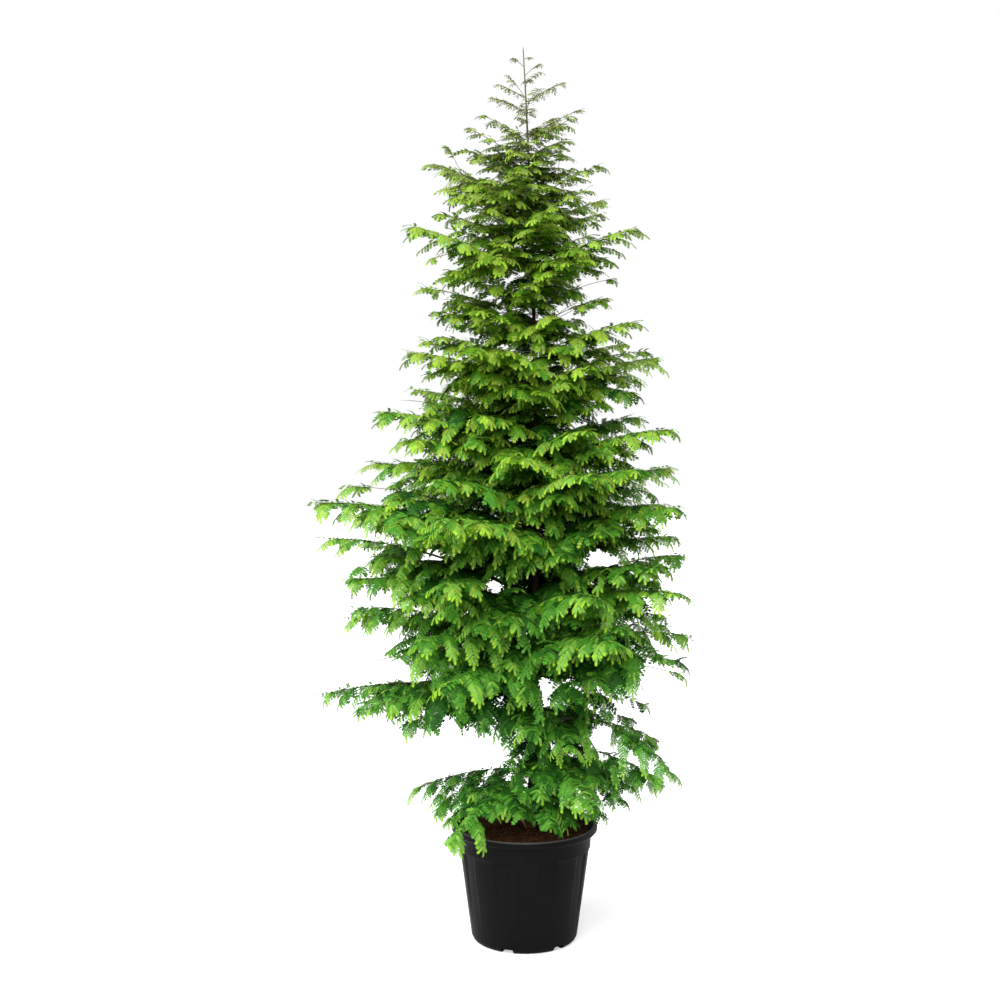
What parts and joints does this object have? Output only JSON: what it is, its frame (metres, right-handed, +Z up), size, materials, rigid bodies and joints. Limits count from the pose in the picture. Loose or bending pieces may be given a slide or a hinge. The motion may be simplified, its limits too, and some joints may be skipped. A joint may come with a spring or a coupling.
{
  "type": "potted dawn redwood",
  "caption": "Young conical dawn redwood with a slim upright trunk and feathery drooping boughs, standing in a filled black plastic nursery pot.",
  "frame": {"origin": "centre of the pot's flat underside, on the floor", "axes": "+Z up the tree, +X to the right and -Y towards the viewer of the picture"},
  "size_m": [1.0034, 0.8457, 2.293],
  "materials": {
    "pot": "satin black moulded plastic",
    "soil": "loose reddish-brown bark potting mix",
    "bark": "fine stringy brown bark",
    "foliage": "soft bright green needles"
  },
  "bodies": {
    "root": {"bough_left_10": "bark", "bough_left_11": "bark", "bough_left_13": "bark", "bough_left_15": "bark", "bough_left_9": "bark", "foliage_back_11": "foliage", "foliage_back_12": "foliage", "foliage_back_15": "foliage", "foliage_back_16": "foliage", "foliage_back_3": "foliage", "foliage_back_4": "foliage", "foliage_back_7": "foliage", "foliage_back_8": "foliage", "foliage_front_1": "foliage", "foliage_front_10": "foliage", "foliage_front_13": "foliage", "foliage_front_14": "foliage", "foliage_front_17": "foliage", "foliage_front_18": "foliage", "foliage_front_2": "foliage", "foliage_front_5": "foliage", "foliage_front_6": "foliage", "foliage_front_9": "foliage", "foliage_left_1": "foliage", "foliage_left_10": "foliage", "foliage_left_11": "foliage", "foliage_left_12": "foliage", "foliage_left_13": "foliage", "foliage_left_14": "foliage", "foliage_left_15": "foliage", "foliage_left_16": "foliage", "foliage_left_17": "foliage", "foliage_left_2": "foliage", "foliage_left_3": "foliage", "foliage_left_4": "foliage", "foliage_left_5": "foliage", "foliage_left_6": "foliage", "foliage_left_7": "foliage", "foliage_left_8": "foliage", "foliage_left_9": "foliage", "foliage_right_1": "foliage", "foliage_right_10": "foliage", "foliage_right_11": "foliage", "foliage_right_12": "foliage", "foliage_right_13": "foliage", "foliage_right_14": "foliage", "foliage_right_15": "foliage", "foliage_right_16": "foliage", "foliage_right_17": "foliage", "foliage_right_2": "foliage", "foliage_right_3": "foliage", "foliage_right_4": "foliage", "foliage_right_5": "foliage", "foliage_right_6": "foliage", "foliage_right_7": "foliage", "foliage_right_8": "foliage", "foliage_right_9": "foliage", "pot": "pot", "soil": "soil", "trunk": "bark"}
  },
  "joints": []
}
